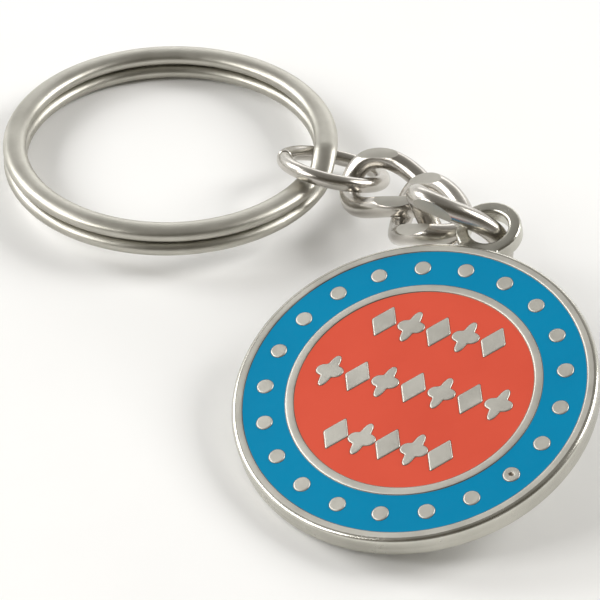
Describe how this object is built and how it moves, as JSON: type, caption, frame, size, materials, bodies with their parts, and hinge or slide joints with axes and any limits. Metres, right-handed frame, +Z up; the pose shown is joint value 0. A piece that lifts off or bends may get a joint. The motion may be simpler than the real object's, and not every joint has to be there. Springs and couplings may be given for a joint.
{
  "type": "keychain",
  "caption": "Keychain: a two-turn split ring, a jump ring and curb links carrying a round enamelled medallion that rests tilted on its edge.",
  "frame": {"origin": "centre of the keychain's bounding box, on the flat surface that it lies on", "axes": "+Z up; +Y along the keychain's length, from the medallion to the split ring; +X to the right, the side where the chain runs"},
  "size_m": [0.0508, 0.0658, 0.0127],
  "materials": {
    "ring_steel": "polished nickel plate over spring steel",
    "nickel": "polished nickel plate",
    "medallion_metal": "satin nickel plate over die-cast zinc alloy",
    "blue_enamel": "glossy hard enamel",
    "red_enamel": "glossy hard enamel"
  },
  "bodies": {
    "ring": {"split_ring": "ring_steel"},
    "jump": {"jump_ring": "nickel"},
    "link_1": {"chain_link_1": "nickel"},
    "link_2": {"chain_link_2": "nickel"},
    "link_3": {"chain_link_3": "nickel"},
    "medallion": {"medallion_body": "medallion_metal", "blue_enamel": "blue_enamel", "red_enamel": "red_enamel"}
  },
  "joints": [
    {"name": "jump_ring_swing", "type": "hinge", "parent": "ring", "child": "jump", "pos_m": [0.00305, 0.01424, 0.00282], "axis": [0.9654, -0.2576, 0.0396], "range_deg": [-95, 0]},
    {"name": "link_1_swing", "type": "hinge", "parent": "jump", "child": "link_1", "pos_m": [0.00738, 0.01078, 0.00407], "axis": [0.6586, 0.6294, -0.4125], "range_deg": [-70, 13]},
    {"name": "link_2_swing", "type": "hinge", "parent": "link_1", "child": "link_2", "pos_m": [0.01087, 0.00664, 0.00537], "axis": [-0.3552, 0.8667, -0.3503], "range_deg": [-38, 0]},
    {"name": "link_3_swing", "type": "hinge", "parent": "link_2", "child": "link_3", "pos_m": [0.0139, -0.00031, 0.00782], "axis": [0.8523, 0.4931, -0.1746], "range_deg": [-7, 55]},
    {"name": "medallion_swing", "type": "hinge", "parent": "link_3", "child": "medallion", "pos_m": [0.01479, -0.00134, 0.00927], "axis": [-0.2406, -0.9434, -0.2283], "range_deg": [-3, 55]}
  ]
}
